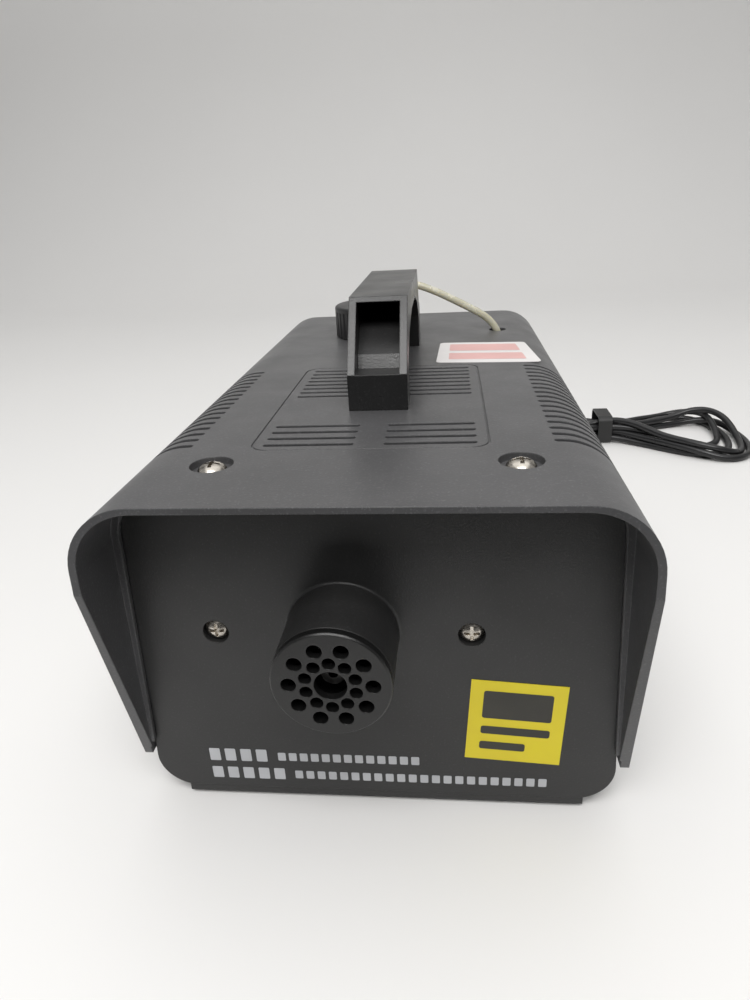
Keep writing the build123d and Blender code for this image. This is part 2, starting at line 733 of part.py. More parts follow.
@node
def plunger_spring():
    """A compression spring under the plunger. It shortens as the plunger goes down."""
    wire, radius, turns = 0.4, 3.4, 6
    low, high = SPRING_FROM + wire, PLUNGER_FROM - wire
    path = Helix(pitch=(high - low) / turns, height=high - low, radius=radius)
    coil = sweep(Plane(origin=path @ 0, z_dir=path % 0) * Circle(wire), path=path, is_frenet=True)
    return Pos(PUMP_X, PUMP_Y, low) * coil


@node
def pump_bracket():
    """A bent strip from the tray's floor up under the yoke."""
    top = COIL_FROM - 4 - 3
    bracket = block(PUMP_X - 17, PUMP_X + 17, PUMP_Y - 8, PUMP_Y + 8, top - 1.5, top)
    bracket += block(PUMP_X - 17, PUMP_X - 15.5, PUMP_Y - 8, PUMP_Y + 8, TRAY_FLOOR, top)
    bracket += block(PUMP_X - 24, PUMP_X - 15.5, PUMP_Y - 8, PUMP_Y + 8, TRAY_FLOOR, TRAY_FLOOR + 1.5)
    bracket -= pump_rod(top - 3, top + 1, CORE_RADIUS + 0.6)
    return bracket


@node
def pump_mounts():
    """Two rubber buffers between the bracket and the yoke."""
    top = COIL_FROM - 4
    return Compound(
        children=[rod((PUMP_X + side * 11.5, PUMP_Y, top - 3), (0, 0, 1), 3, 3.4) for side in (-1, 1)]
    )


# ---------------------------------------------------------------- heater

HEATER_LOW = NOZZLE_Z - HEATER_HALF[1]
HEATER_TOP = NOZZLE_Z + HEATER_HALF[1]
INLET_AT = (NOZZLE_X + 16, NOZZLE_Z - 8)
ELEMENT_HALF = 11.0
ELEMENT_RADIUS = 3.5


def element_route():
    """The U-shaped path of the heating element, with both ends out of the block's rear face."""
    rear, front = back(HEATER_TO + 10), back(HEATER_FROM + 12)
    return FilletPolyline(
        (NOZZLE_X - ELEMENT_HALF, rear, NOZZLE_Z + 8),
        (NOZZLE_X - ELEMENT_HALF, front, NOZZLE_Z + 8),
        (NOZZLE_X + ELEMENT_HALF, front, NOZZLE_Z + 8),
        (NOZZLE_X + ELEMENT_HALF, rear, NOZZLE_Z + 8),
        radius=ELEMENT_HALF - 0.5,
    )


@node
def heating_element():
    path = element_route()
    return sweep(Plane(origin=path @ 0, z_dir=path % 0) * Circle(ELEMENT_RADIUS), path=path)


@node
def heater_block():
    half_x, _ = HEATER_HALF
    body = block(
        NOZZLE_X - half_x, NOZZLE_X + half_x, back(HEATER_FROM), back(HEATER_TO), HEATER_LOW, HEATER_TOP
    )
    body = fillet(body.edges().filter_by(Axis.Y), 4.0)
    body -= heating_element()
    body -= rod((NOZZLE_X, back(HEATER_FROM) - 1, NOZZLE_Z - 6), (0, 1, 0), 12, 4)
    body -= rod((INLET_AT[0], back(HEATER_TO) + 1, INLET_AT[1]), (0, -1, 0), 12, 4)
    return body


@node
def outlet_fitting():
    """The brass jet: a threaded end in the block, a bend up to the nozzle's axis and a tip behind the grille."""
    low = NOZZLE_Z - 6
    jet = rod((NOZZLE_X, back(HEATER_FROM + 10), low), (0, -1, 0), 20, 4)
    jet += rod((NOZZLE_X, back(HEATER_FROM), low), (0, -1, 0), 6, 6.5)
    jet += block(NOZZLE_X - 4, NOZZLE_X + 4, back(28), back(36), low - 4, NOZZLE_Z + 4)
    jet += rod((NOZZLE_X, back(33), NOZZLE_Z), (0, -1, 0), 30.5, 3.0)
    jet -= rod((NOZZLE_X, back(2), NOZZLE_Z), (0, 1, 0), 30, 1.2)
    return jet


@node
def insulation_jacket():
    """Mineral wool all round the block, with windows for the thermostat, the jet and the rear ends."""
    half_x, half_z = HEATER_HALF
    grow = JACKET_THICK
    wool = block(
        NOZZLE_X - half_x - grow,
        NOZZLE_X + half_x + grow,
        back(HEATER_FROM - grow),
        back(HEATER_TO + grow),
        HEATER_LOW - grow,
        HEATER_TOP + grow,
    )
    wool = fillet(wool.edges().filter_by(Axis.Y), 7.0)
    wool -= block(
        NOZZLE_X - half_x, NOZZLE_X + half_x, back(HEATER_FROM), back(HEATER_TO), HEATER_LOW, HEATER_TOP
    )
    wool -= rod((NOZZLE_X, back(HEATER_FROM) + 1, NOZZLE_Z - 6), (0, -1, 0), 12, 7)
    wool -= block(
        NOZZLE_X - half_x + 4,
        NOZZLE_X + half_x - 1,
        back(HEATER_TO - 1),
        back(HEATER_TO + 12),
        HEATER_LOW + 4,
        HEATER_TOP - 4,
    )
    wool -= block(NOZZLE_X - 14, NOZZLE_X + 14, back(70), back(110), HEATER_TOP - 1, HEATER_TOP + 20)
    return wool


@node
def thermostat():
    disc = rod((NOZZLE_X, back(82), HEATER_TOP), (0, 0, 1), 6, 8)
    disc += block(NOZZLE_X - 12, NOZZLE_X + 12, back(79), back(85), HEATER_TOP, HEATER_TOP + 1)
    for side in (-1, 1):
        x = NOZZLE_X + side * 5
        disc += block(x - 0.4, x + 0.4, back(79), back(85), HEATER_TOP + 5, HEATER_TOP + 12)
    return disc


@node
def thermal_fuse():
    body = rod((NOZZLE_X - 6, back(101), HEATER_TOP + 2.3), (1, 0, 0), 12, 2.2)
    return fillet(body.edges().filter_by(GeomType.CIRCLE), 0.8)


@node
def fuse_clip():
    """The strap that presses the thermal fuse on the block."""
    clip = block(NOZZLE_X - 3, NOZZLE_X + 3, back(96), back(106), HEATER_TOP, HEATER_TOP + 5.5)
    clip -= block(NOZZLE_X - 4, NOZZLE_X + 4, back(98.6), back(103.4), HEATER_TOP - 1, HEATER_TOP + 4.7)
    return clip


@node
def heater_bracket():
    """The steel plate behind the front panel and its two arms, which carry the jacket."""
    half_x = HEATER_HALF[0] + JACKET_THICK
    front = PANEL_FRONT + 4.2
    reach = FRONT_SCREW_SPACING / 2 + 7
    plate = block(NOZZLE_X - reach, NOZZLE_X + reach, front, front + 1.5, NOZZLE_Z - 13, NOZZLE_Z + 13)
    plate -= rod((NOZZLE_X, front - 1, NOZZLE_Z), (0, 1, 0), 4, 11.5)
    for side in (-1, 1):
        x = FRONT_SCREW_MIDDLE + side * FRONT_SCREW_SPACING / 2
        plate -= rod((x, front - 1, FRONT_SCREW_Z), (0, 1, 0), 4, 1.6)
        ends = sorted((NOZZLE_X + side * (half_x + 0.2), NOZZLE_X + side * (half_x + 1.7)))
        plate += block(*ends, front, back(112), NOZZLE_Z - 8, NOZZLE_Z + 8)
    return plate


@node
def heater_stand():
    """A U-shaped bracket from the tray's floor up to the jacket."""
    top = HEATER_LOW - JACKET_THICK
    near, far = back(70), back(96)
    left, right = NOZZLE_X - 24, NOZZLE_X + 24
    stand = block(left, right, near, far, top - 1.5, top)
    stand -= block(left + 8, right - 8, near + 6, far - 6, top - 3, top + 1)
    for x in (left, right - 1.5):
        stand += block(x, x + 1.5, near, far, TRAY_FLOOR, top)
    return stand


@node
def pump_outlet_tube():
    """The hard tube from the pump's outlet to the block's inlet."""
    x, z = INLET_AT
    start = (PUMP_X, PUMP_Y - 14, CORE_FROM + 2.5)
    points = [
        start,
        (PUMP_X, back(152), CORE_FROM + 2.5),
        (x, back(138), CORE_FROM + 8),
        (x, back(137), z),
        (x, back(HEATER_TO + 4), z),
    ]
    path = FilletPolyline(*points, radius=5.0)
    return sweep(Plane(origin=path @ 0, z_dir=path % 0) * Circle(2.0), path=path)


@node
def inlet_fitting():
    x, z = INLET_AT
    fitting = rod((x, back(HEATER_TO - 10), z), (0, 1, 0), 14, 4)
    return fitting + rod((x, back(HEATER_TO), z), (0, 1, 0), 3, 5.2)


# ---------------------------------------------------------------- rear controls


ROCKER_TILT = 11.0
ROCKER_AXIS_Y = REAR_PANEL_OUT + 0.4


@node
def switch_body():
    x, z = ROCKER_AT
    width, height = ROCKER_CUT
    out = REAR_PANEL_OUT
    body = block(x - width / 2, x + width / 2, out - 15, out + 0.5, z - height / 2, z + height / 2)
    rim = block(x - 10.7, x + 10.7, out, out + 2.2, z - 7.6, z + 7.6)
    rim = fillet(rim.edges().filter_by(Axis.Y), 1.5)
    body += rim
    body -= block(x - 7.6, x + 7.6, out - 6, out + 5, z - 5.2, z + 5.2)
    body -= rod((x, ROCKER_AXIS_Y, z - 6.1), (0, 0, 1), 12.2, 1.15)
    for spade in (-6, 0, 6):
        body += block(x + spade - 0.4, x + spade + 0.4, out - 22, out - 14, z - 2.3, z + 2.3)
    return body


@node
def switch_rocker():
    """The rocker at rest in its off position, tilted about its pin, which runs along Z."""
    x, z = ROCKER_AT
    half = 7.1
    top, low = 2.6, -2.0
    profile = outline_of([(-half, low), (half, low), (half, top), (0, top - 1.1), (-half, top)])
    body = extrude(profile, amount=4.9, both=True)
    body += rod((0, 0, -5.9), (0, 0, 1), 11.8, 1.1)
    return Pos(x, ROCKER_AXIS_Y, z) * Rot(0, 0, ROCKER_TILT) * body


@node
def fuse_holder():
    x, z = FUSE_AT
    out = REAR_PANEL_OUT
    body = rod((x, out, z), (0, -1, 0), 30, FUSE_CUT)
    body += rod((x, out, z), (0, 1, 0), 2.5, 8.5)
    body += rod((x, REAR_PANEL_IN, z), (0, -1, 0), 4, 8.5)
    body -= rod((x, out + 5, z), (0, -1, 0), 32.5, 4.2)
    body += block(x - 2, x + 2, out - 38, out - 29, z - 0.4, z + 0.4)
    return body


@node
def fuse_carrier():
    """The stem that slides in the holder and grips the fuse."""
    x, z = FUSE_AT
    out = REAR_PANEL_OUT
    return ring((x, out + 2.6, z), (0, -1, 0), 8, 4.0, 2.7)


@node
def glass_fuse():
    x, z = FUSE_AT
    return rod((x, REAR_PANEL_OUT + 2.4, z), (0, -1, 0), 20, 2.55)


@node
def fuse_cap():
    x, z = FUSE_AT
    out = REAR_PANEL_OUT
    cap = rod((x, out + 2.7, z), (0, 1, 0), 5.5, 6.2)
    cap = fillet(cap.edges().sort_by(Axis.Y)[-1:], 1.0)
    cap -= block(x - 5, x + 5, out + 7.2, out + 9, z - 0.7, z + 0.7)
    for i in range(16):
        angle = 2 * pi * i / 16
        cap -= rod((x + 6.5 * cos(angle), out + 2, z + 6.5 * sin(angle)), (0, 1, 0), 5, 0.7)
    return cap


@node
def remote_socket():
    x, z = SOCKET_AT
    out = REAR_PANEL_OUT
    body = rod((x, out, z), (0, -1, 0), 14, SOCKET_CUT)
    body += rod((x, out, z), (0, 1, 0), 1.8, 10.0)
    body -= rod((x, out + 3, z), (0, -1, 0), 13, 6.5)
    return body


@node
def socket_pins():
    x, z = SOCKET_AT
    pins = []
    for angle in (0, 90, 180, 270):
        px, pz = x + 4.6 * cos(radians(angle)), z + 4.6 * sin(radians(angle))
        pins.append(rod((px, REAR_PANEL_OUT - 2, pz), (0, -1, 0), 8, 0.7))
    return Compound(children=pins)


@node
def strain_relief():
    start = REAR_PANEL_IN - 4
    body = rod((RELIEF_X, start, RELIEF_Z), (0, 1, 0), 6.6, RELIEF_CUT - 0.05)
    body += rod((RELIEF_X, start, RELIEF_Z), (0, 1, 0), 3.5, RELIEF_CUT + 0.7)
    body += rod((RELIEF_X, REAR_PANEL_OUT, RELIEF_Z), (0, 1, 0), 2.2, 7.4)
    sleeve = Cone(5.6, 3.9, RELIEF_LENGTH, align=(Align.CENTER, Align.CENTER, Align.MIN))
    body += Plane(origin=(RELIEF_X, REAR_PANEL_OUT + 2, RELIEF_Z), z_dir=(0, 1, 0)) * sleeve
    for i in range(6):
        y = REAR_PANEL_OUT + 6.5 + 3.9 * i
        body -= ring((RELIEF_X, y, RELIEF_Z), (0, 1, 0), 1.5, 9, 4.9 - 0.17 * i)
    return body - Pos(0, 0, -STAND) * power_cord()


@node
def terminal_block():
    body = block(24, 54, back(129), back(145), TRAY_FLOOR, TRAY_FLOOR + 14)
    for i in range(3):
        x = 29 + 10 * i
        body -= rod((x, back(137), TRAY_FLOOR + 6), (0, 0, 1), 12, 2.6)
        body -= rod((x, back(128), TRAY_FLOOR + 6), (0, 1, 0), 18, 2.0)
    return body


@node
def internal_wires():
    """Insulated wires between the terminal block, the switch, the fuse, the pump and the heater."""
    z = TRAY_FLOOR + 6
    x_switch, z_switch = ROCKER_AT
    x_fuse, z_fuse = FUSE_AT
    out = REAR_PANEL_OUT
    routes = [
        [(29, back(130), z), (29, back(112), z + 4), (22, back(100), z + 4), (8, back(99), 18), (-20, back(99), 14)],
        [(29, back(144), z), (29, back(157), z), (x_switch + 2, out - 40, 14), (x_switch + 4, out - 23.3, z_switch)],
        [
            (x_switch - 6, out - 23.3, z_switch),
            (x_switch - 8, out - 34, 14),
            (x_fuse + 8, out - 46, 12),
            (x_fuse, out - 39.4, z_fuse),
        ],
        [(39, back(144), z), (39, back(152), z + 2), (24, back(160), z + 6), (24, back(168), 20)],
    ]
    wires = []
    for points in routes:
        path = FilletPolyline(*points, radius=3.0)
        start = Plane(origin=path @ 0, z_dir=path % 0)
        wires.append(sweep(start * Circle(1.2), path=path))
    return Compound(children=wires)


# ---------------------------------------------------------------- mains lead

LEAD_ROUTE = [
    (45.0, 96.0, 22.0),
    (45.0, 113.0, 22.3),
    (45.4, 131.0, 21.0),
    (46.4, 148.0, 14.6),
    (48.6, 164.0, 6.4),
    (54.0, 178.0, CORD_RADIUS),
    (62.0, 190.5, CORD_RADIUS),
]
TAIL_ROUTE = [
    (44.0, 205.0, CORD_RADIUS),
    (29.0, 199.0, CORD_RADIUS),
    (12.0, 194.5, CORD_RADIUS + 0.2),
    (-6.0, 192.0, 6.2),
    (-24.0, 192.4, 10.4),
    (-40.0, 193.0, 11.0),
]
PLUG_LENGTH = 34.0


@node_on_surface
def power_cord():
    return tube_along(LEAD_ROUTE, CORD_RADIUS, "power cord")


@node_on_surface
def power_cord_tail():
    return tube_along(TAIL_ROUTE, CORD_RADIUS, "power cord tail")


def hank_outline(grow=0.0):
    """The bow-tie outline of the tied hank: two lobes that meet in the tie."""
    half_length, half_width = HANK_HALF_LENGTH + grow, HANK_HALF_WIDTH + grow
    pinch = HANK_PINCH + grow
    points = [
        (9, pinch),
        (0.36 * half_length, 0.62 * half_width),
        (0.66 * half_length, half_width),
        (0.92 * half_length, 0.62 * half_width),
        (half_length, 0.0),
    ]
    right = points + [(x, -y) for x, y in reversed(points[:-1])]
    every = right + [(-x, -y) for x, y in right]
    outline = outline_of(every)
    return fillet(outline.vertices().filter_by(lambda v: abs(v.X) > 10), 12.0)


@node_on_surface
def power_cord_hank():
    hank = Pos(HANK_X, HANK_Y, 0) * extrude(hank_outline(), amount=HANK_HEIGHT)
    x0, x1 = HANK_X - HANK_WAIST, HANK_X + HANK_WAIST
    hank -= block(x0, x1, HANK_Y - 30, HANK_Y + 30, HANK_WAIST_HEIGHT, HANK_HEIGHT + 1)
    return hank - power_cord() - power_cord_tail()


@node_on_surface
def cord_tie():
    """The strap that holds the hank together at its waist. It lies flat under the strands' weight."""
    x0, x1 = HANK_X - TIE_WIDTH / 2, HANK_X + TIE_WIDTH / 2
    half, height = HANK_PINCH, HANK_WAIST_HEIGHT
    outside = half + TIE_THICK
    strap = block(x0, x1, HANK_Y - outside, HANK_Y + outside, 0, height + TIE_THICK)
    return strap - block(x0, x1, HANK_Y - half, HANK_Y + half, 0, height)


@node_on_surface
def plug():
    x, y, z = TAIL_ROUTE[-1]
    body = block(x - PLUG_LENGTH, x, y - 12.5, y + 12.5, 0, 22)
    body = fillet(body.edges().filter_by(Axis.X), 6.0)
    body = chamfer(body.faces().sort_by(Axis.X)[-1].edges(), 4.0)
    face = x - PLUG_LENGTH
    for side in (-1, 1):
        blade_y = y + side * 6.35
        body += block(face - 17.5, face + 1, blade_y - 0.8, blade_y + 0.8, z - 1, z + 5.3)
    return body + rod((face + 1, y, z - 5.5), (-1, 0, 0), 20, 2.4) - power_cord_tail()


for maker in MAKERS:
    export_step(Pos(0, 0, DATUM[maker]) * maker(), f"parts/{maker.__name__}.step")
print(len(MAKERS), "nodes")
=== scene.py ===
"""Looks of the fog machine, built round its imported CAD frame. Metres, row frame: front is -Y, up is +Z."""

import math

import bpy
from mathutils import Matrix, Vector


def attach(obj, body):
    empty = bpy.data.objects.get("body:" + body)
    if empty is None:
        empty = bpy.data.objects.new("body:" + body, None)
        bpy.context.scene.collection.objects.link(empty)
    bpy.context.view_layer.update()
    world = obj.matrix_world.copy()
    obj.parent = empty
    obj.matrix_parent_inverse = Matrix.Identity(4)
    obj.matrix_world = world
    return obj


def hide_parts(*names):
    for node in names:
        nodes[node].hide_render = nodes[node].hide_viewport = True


MM = 0.001

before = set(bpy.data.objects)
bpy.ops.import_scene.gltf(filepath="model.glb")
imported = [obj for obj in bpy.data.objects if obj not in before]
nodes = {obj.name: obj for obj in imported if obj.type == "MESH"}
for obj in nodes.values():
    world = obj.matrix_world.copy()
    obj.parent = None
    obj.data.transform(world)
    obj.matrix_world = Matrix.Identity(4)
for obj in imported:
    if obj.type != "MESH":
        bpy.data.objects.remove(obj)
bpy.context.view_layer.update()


# ---------------------------------------------------------------- materials

def new_material(name):
    material = bpy.data.materials.new(name)
    material.use_nodes = True
    material.node_tree.nodes.clear()
    return material


class Shader:
    """A small builder round one material's node tree. Sizes of patterns are in metres."""

    def __init__(self, name):
        self.material = new_material(name)
        self.tree = self.material.node_tree
        self.surface = self.add("ShaderNodeBsdfPrincipled")
        output = self.add("ShaderNodeOutputMaterial")
        self.link(self.surface.outputs["BSDF"], output.inputs["Surface"])
        self.place = self.add("ShaderNodeTexCoord").outputs["Object"]
        self.normal = None

    def add(self, kind, **settings):
        node = self.tree.nodes.new(kind)
        for key, value in settings.items():
            setattr(node, key, value)
        return node

    def link(self, source, target):
        self.tree.links.new(source, target)

    def fix(self, **values):
        """Constants on the surface shader's own sockets."""
        for key, value in values.items():
            self.surface.inputs[key.replace("_", " ")].default_value = value

    def noise(self, size, detail=3.0, roughness=0.5, stretch=(1, 1, 1)):
        """Noise whose blobs are about size across, from 0 to 1."""
        mapping = self.add("ShaderNodeMapping")
        mapping.inputs["Scale"].default_value = stretch
        self.link(self.place, mapping.inputs["Vector"])
        texture = self.add("ShaderNodeTexNoise")
        texture.inputs["Scale"].default_value = 1.0 / size
        texture.inputs["Detail"].default_value = detail
        texture.inputs["Roughness"].default_value = roughness
        self.link(mapping.outputs["Vector"], texture.inputs["Vector"])
        return texture.outputs["Fac"]

    def ramp(self, value, low, high, to_low=0.0, to_high=1.0):
        """value from low..high stretched over to_low..to_high."""
        node = self.add("ShaderNodeMapRange")
        node.inputs["From Min"].default_value = low
        node.inputs["From Max"].default_value = high
        node.inputs["To Min"].default_value = to_low
        node.inputs["To Max"].default_value = to_high
        self.link(value, node.inputs["Value"])
        return node.outputs["Result"]

    def times(self, a, b):
        node = self.add("ShaderNodeMath", operation="MULTIPLY")
        self.link(a, node.inputs[0])
        if isinstance(b, (int, float)):
            node.inputs[1].default_value = b
        else:
            self.link(b, node.inputs[1])
        return node.outputs["Value"]

    def mixed(self, share, first, second):
        """Colour from first to second as share goes from 0 to 1. Either may be a colour or a socket."""
        node = self.add("ShaderNodeMix", data_type="RGBA")
        self.link(share, node.inputs["Factor"])
        for socket, value in ((node.inputs[6], first), (node.inputs[7], second)):
            if isinstance(value, tuple):
                socket.default_value = (*value, 1.0)
            else:
                self.link(value, socket)
        return node.outputs[2]

    def facing_up(self):
        """1 where the surface faces up, 0 where it doesn't."""
        geometry = self.add("ShaderNodeNewGeometry")
        split = self.add("ShaderNodeSeparateXYZ")
        self.link(geometry.outputs["Normal"], split.inputs["Vector"])
        return self.ramp(split.outputs["Z"], 0.6, 1.0)

    def rounded(self, radius):
        """Softens sharp edges in the shading by this radius."""
        bevel = self.add("ShaderNodeBevel", samples=4)
        bevel.inputs["Radius"].default_value = radius
        self.normal = bevel.outputs["Normal"]

    def bump(self, height, distance):
        """Relief of this height, in metres, where the pattern is 1."""
        node = self.add("ShaderNodeBump")
        node.inputs["Distance"].default_value = distance
        node.inputs["Strength"].default_value = 1.0
        self.link(height, node.inputs["Height"])
        if self.normal is not None:
            self.link(self.normal, node.inputs["Normal"])
        self.normal = node.outputs["Normal"]

    def colour(self, socket):
        self.link(socket, self.surface.inputs["Base Color"])

    def roughness(self, socket):
        self.link(socket, self.surface.inputs["Roughness"])

    def done(self):
        if self.normal is not None:
            self.link(self.normal, self.surface.inputs["Normal"])
        return self.material


def moulded_plastic(name, dark, light, rough, grain=0.0006, dust=0.0, edge=0.0005, relief=0.00004):
    """Injection-moulded plastic: spark-eroded grain, faint clouding, and dust on what faces up."""
    shader = Shader(name)
    clouds = shader.noise(0.045, detail=4)
    speckle = shader.noise(grain, detail=2)
    base = shader.mixed(shader.ramp(clouds, 0.35, 0.65), dark, light)
    base = shader.mixed(shader.ramp(speckle, 0.58, 0.76, 0.0, 0.45), base, tuple(2.4 * c for c in light))
    if dust:
        flecks = shader.ramp(shader.noise(0.0011, detail=1), 0.68, 0.78)
        film = shader.ramp(shader.noise(0.03, detail=5, roughness=0.65), 0.3, 0.75)
        amount = shader.times(shader.times(shader.facing_up(), film), dust)
        base = shader.mixed(amount, base, (0.32, 0.31, 0.30))
        specks = shader.times(shader.times(flecks, shader.facing_up()), dust)
        base = shader.mixed(specks, base, (0.5, 0.49, 0.47))
    shader.colour(base)
    shader.roughness(shader.ramp(shader.noise(0.02, detail=5), 0.3, 0.7, rough - 0.05, rough + 0.07))
    shader.rounded(edge)
    shader.bump(speckle, relief)
    shader.fix(IOR=1.5)
    return shader.done()


def metal(name, colour, rough, scratches=0.0025):
    """Plated or machined metal with fine turning marks and a little tarnish."""
    shader = Shader(name)
    tarnish = shader.noise(0.004, detail=5)
    marks = shader.noise(scratches, detail=3, stretch=(1, 1, 12))
    darker = tuple(0.55 * c for c in colour)
    shader.colour(shader.mixed(shader.ramp(tarnish, 0.35, 0.7), colour, darker))
    shader.roughness(shader.ramp(marks, 0.3, 0.7, rough - 0.06, rough + 0.1))
    shader.rounded(0.00015)
    shader.bump(marks, 0.00001)
    shader.fix(Metallic=1.0)
    return shader.done()


def matt(name, dark, light, size, rough, relief):
    """Fibres, rubber, enamel and the like: one colour clouded at the given size, with that relief."""
    shader = Shader(name)
    pattern = shader.noise(size, detail=5)
    shader.colour(shader.mixed(shader.ramp(pattern, 0.3, 0.7), dark, light))
    shader.roughness(shader.ramp(pattern, 0.3, 0.7, rough - 0.05, rough + 0.05))
    shader.bump(pattern, relief)
    return shader.done()


cover_plastic = moulded_plastic(
    "cover_plastic", (0.058, 0.058, 0.060), (0.070, 0.070, 0.073), 0.36, dust=0.05
)
panel_plastic = moulded_plastic(
    "panel_plastic", (0.016, 0.016, 0.016), (0.020, 0.020, 0.0202), 0.38, dust=0.03
)
handle_plastic = moulded_plastic(
    "handle_plastic", (0.013, 0.013, 0.0132), (0.018, 0.018, 0.0182), 0.30, dust=0.04
)
cap_plastic = moulded_plastic(
    "cap_plastic", (0.011, 0.011, 0.012), (0.015, 0.015, 0.016), 0.4, dust=0.05, edge=0.0003
)
grille_plastic = moulded_plastic(
    "grille_plastic", (0.005, 0.005, 0.005), (0.008, 0.008, 0.008), 0.32, edge=0.0004
)
control_plastic = moulded_plastic(
    "control_plastic", (0.010, 0.010, 0.011), (0.014, 0.014, 0.015), 0.32, edge=0.0003
)
rocker_plastic = moulded_plastic(
    "rocker_plastic", (0.30, 0.012, 0.010), (0.36, 0.016, 0.012), 0.25, edge=0.0003
)
white_plastic = moulded_plastic("white_plastic", (0.60, 0.58, 0.53), (0.68, 0.66, 0.60), 0.4, edge=0.0003)
tank_plastic = moulded_plastic("tank_plastic", (0.55, 0.54, 0.50), (0.62, 0.61, 0.57), 0.35, edge=0.0008)
tie_plastic = moulded_plastic("tie_plastic", (0.012, 0.012, 0.012), (0.017, 0.017, 0.017), 0.45, edge=0.0003)
nickel_steel = metal("nickel_steel", (0.62, 0.58, 0.52), 0.24)
sheet_steel = metal("sheet_steel", (0.48, 0.49, 0.50), 0.38, scratches=0.006)
cast_aluminium = metal("cast_aluminium", (0.62, 0.63, 0.64), 0.5, scratches=0.003)
jet_brass = metal("jet_brass", (0.70, 0.52, 0.24), 0.3)
jet_steel = metal("jet_steel", (0.10, 0.098, 0.095), 0.36)
copper_winding = metal("copper_winding", (0.66, 0.27, 0.13), 0.32)
element_steel = metal("element_steel", (0.40, 0.37, 0.34), 0.42)
mineral_wool = matt("mineral_wool", (0.50, 0.46, 0.36), (0.68, 0.64, 0.54), 0.002, 0.95, 0.0006)
soft_rubber = matt("soft_rubber", (0.014, 0.014, 0.014), (0.022, 0.022, 0.022), 0.0015, 0.7, 0.00005)
wire_jacket = matt("wire_jacket", (0.016, 0.016, 0.018), (0.028, 0.028, 0.031), 0.004, 0.45, 0.00003)


def cord_rubber():
    """Glossy black PVC jacket, slightly dusty, with faint extrusion unevenness."""
    shader = Shader("lead_rubber")
    clouds = shader.noise(0.012, detail=4)
    dust = shader.times(shader.ramp(shader.noise(0.003, detail=4), 0.5, 0.8), shader.facing_up())
    base = shader.mixed(shader.ramp(clouds, 0.3, 0.7), (0.010, 0.010, 0.011), (0.015, 0.015, 0.016))
    shader.colour(shader.mixed(shader.times(dust, 0.05), base, (0.3, 0.3, 0.3)))
    shader.roughness(shader.ramp(clouds, 0.3, 0.7, 0.27, 0.4))
    shader.bump(shader.noise(0.0015, detail=2), 0.00003)
    return shader.done()


def fluid_pvc():
    """Milky clear PVC tube with a cream tint."""
    shader = Shader("clear_tube")
    clouds = shader.noise(0.006, detail=3)
    shader.colour(shader.mixed(shader.ramp(clouds, 0.3, 0.7), (0.62, 0.60, 0.47), (0.72, 0.70, 0.58)))
    shader.roughness(shader.ramp(clouds, 0.3, 0.7, 0.22, 0.32))
    shader.bump(shader.noise(0.001, detail=1), 0.00002)
    shader.fix(Subsurface_Weight=0.6, Subsurface_Radius=(0.003, 0.0027, 0.002), Subsurface_Scale=1.0)
    shader.fix(Transmission_Weight=0.25, IOR=1.52)
    return shader.done()


def fuse_tube():
    shader = Shader("fuse_glass")
    smear = shader.noise(0.002, detail=3)
    shader.colour(shader.mixed(shader.ramp(smear, 0.4, 0.8), (0.9, 0.93, 0.92), (0.7, 0.75, 0.74)))
    shader.roughness(shader.ramp(smear, 0.3, 0.7, 0.03, 0.1))
    shader.fix(Transmission_Weight=0.85, IOR=1.46)
    return shader.done()


def sticker(name, paper, faded, rough):
    """Printed film: an even colour, slightly faded in patches, with a faint orange-peel surface."""
    shader = Shader(name)
    patches = shader.noise(0.018, detail=4)
    shader.colour(shader.mixed(shader.ramp(patches, 0.35, 0.75), paper, faded))
    shader.roughness(shader.ramp(shader.noise(0.008, detail=4), 0.3, 0.7, rough - 0.05, rough + 0.06))
    shader.bump(shader.noise(0.0012, detail=1), 0.00001)
    return shader.done()


yellow_sticker = sticker("yellow_sticker", (0.72, 0.60, 0.012), (0.66, 0.54, 0.016), 0.38)
white_sticker = sticker("white_sticker", (0.74, 0.72, 0.71), (0.68, 0.66, 0.65), 0.42)
pink_print = sticker("pink_print", (0.70, 0.42, 0.40), (0.64, 0.38, 0.36), 0.45)
black_print = sticker("black_print", (0.020, 0.019, 0.015), (0.032, 0.030, 0.022), 0.4)
pale_print = sticker("pale_print", (0.50, 0.51, 0.53), (0.42, 0.43, 0.45), 0.5)
lead_rubber = cord_rubber()
clear_tube = fluid_pvc()
fuse_glass = fuse_tube()

FINISH = {
    "cover_plastic": cover_plastic, "panel_plastic": panel_plastic, "handle_plastic": handle_plastic,
    "cap_plastic": cap_plastic, "grille_plastic": grille_plastic, "control_plastic": control_plastic,
    "rocker_plastic": rocker_plastic, "white_plastic": white_plastic, "tank_plastic": tank_plastic,
    "tie_plastic": tie_plastic, "nickel_steel": nickel_steel, "sheet_steel": sheet_steel,
    "cast_aluminium": cast_aluminium, "jet_brass": jet_brass, "jet_steel": jet_steel,
    "copper_winding": copper_winding,
    "element_steel": element_steel, "mineral_wool": mineral_wool, "soft_rubber": soft_rubber,
    "wire_jacket": wire_jacket, "yellow_sticker": yellow_sticker, "white_sticker": white_sticker,
    "lead_rubber": lead_rubber, "clear_tube": clear_tube, "fuse_glass": fuse_glass,
}


def finish_of_nodes():
    """Each CAD node comes in with a plain material named for its slot. The finish of that name replaces it."""
    for node in nodes.values():
        plain = node.data.materials[0]
        node.data.materials[0] = FINISH[plain.name]


finish_of_nodes()


# ---------------------------------------------------------------- cords

